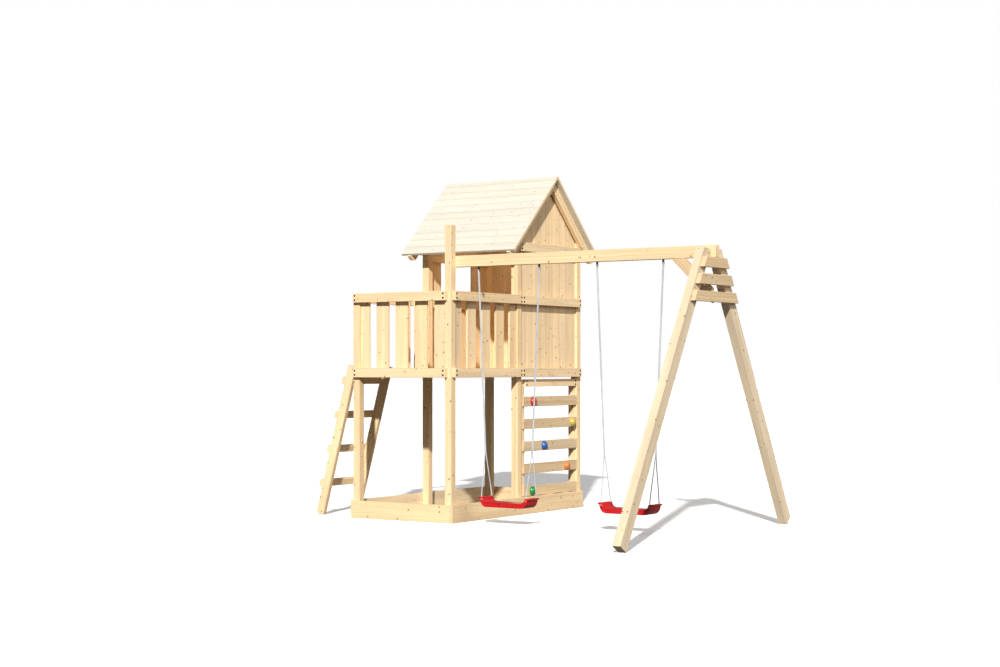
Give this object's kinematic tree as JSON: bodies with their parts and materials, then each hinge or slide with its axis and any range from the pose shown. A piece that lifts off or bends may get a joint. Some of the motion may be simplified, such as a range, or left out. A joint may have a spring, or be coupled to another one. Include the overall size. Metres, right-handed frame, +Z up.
{
  "type": "playhouse with climbing wall and swings",
  "caption": "Raised wooden playhouse with balcony, ladder, climbing wall and sandbox frame, joined by a beam to a splayed leg frame that carries hanging swings.",
  "frame": {"origin": "centre of the overall footprint, on the ground", "axes": "+X from the ladder side along the swing beam, +Y from the balcony to the back of the house, +Z up"},
  "size_m": [4.0286, 3.713, 3.1135],
  "materials": {
    "spruce": "untreated planed spruce, matt",
    "roof_spruce": "untreated planed spruce, matt, paler",
    "rope": "twisted white synthetic rope",
    "black_steel": "black coated steel",
    "red_plastic": "moulded plastic, glossy",
    "hold_green": "moulded plastic, satin",
    "hold_orange": "moulded plastic, satin",
    "hold_blue": "moulded plastic, satin",
    "hold_yellow": "moulded plastic, satin",
    "hold_red": "moulded plastic, satin"
  },
  "bodies": {
    "frame": {"balcony_front_balusters": "spruce", "balcony_front_lower_rail": "spruce", "balcony_front_top_rail": "spruce", "balcony_right_balusters": "spruce", "balcony_right_lower_rail": "spruce", "balcony_right_top_rail": "spruce", "climbing_board_1": "spruce", "climbing_board_2": "spruce", "climbing_board_3": "spruce", "climbing_board_4": "spruce", "climbing_board_5": "spruce", "climbing_frame": "spruce", "climbing_hold_blue": "hold_blue", "climbing_hold_green": "hold_green", "climbing_hold_orange": "hold_orange", "climbing_hold_red": "hold_red", "climbing_hold_yellow": "hold_yellow", "floor_deck": "spruce", "house_back_wall": "spruce", "house_left_wall": "spruce", "house_right_gable_rail": "spruce", "house_right_lower_rail": "spruce", "house_right_top_rail": "spruce", "house_right_wall": "spruce", "ladder_far_rail": "spruce", "ladder_near_rail": "spruce", "ladder_tread_1": "spruce", "ladder_tread_2": "spruce", "ladder_tread_3": "spruce", "ladder_tread_4": "spruce", "left_railing": "spruce", "post_back_left": "spruce", "post_back_right": "spruce", "post_front_left": "spruce", "post_front_right": "spruce", "post_mid_left": "spruce", "post_mid_right": "spruce", "roof_back_slope": "roof_spruce", "roof_front_slope": "roof_spruce", "sandbox_back_board": "spruce", "sandbox_front_board": "spruce", "sandbox_left_board": "spruce", "sandbox_right_board": "spruce", "swing_1_hook_left": "black_steel", "swing_1_hook_right": "black_steel", "swing_2_hook_left": "black_steel", "swing_2_hook_right": "black_steel", "swing_beam": "spruce", "swing_brace": "spruce", "swing_leg_far": "spruce", "swing_leg_near": "spruce", "swing_plank_1": "spruce", "swing_plank_2": "spruce", "swing_plank_3": "spruce"},
    "swing_1": {"swing_1_seat": "red_plastic", "swing_1_rope_left": "rope", "swing_1_rope_right": "rope"},
    "swing_2": {"swing_2_seat": "red_plastic", "swing_2_rope_left": "rope", "swing_2_rope_right": "rope"}
  },
  "joints": [
    {"name": "swing_1_hinge", "type": "hinge", "parent": "frame", "child": "swing_1", "pos_m": [0.0579, -0.38747, 2.16], "axis": [1, 0, 0], "range_deg": [-50, 50]},
    {"name": "swing_2_hinge", "type": "hinge", "parent": "frame", "child": "swing_2", "pos_m": [1.2293, -0.38747, 2.16], "axis": [1, 0, 0], "range_deg": [-50, 50]}
  ]
}
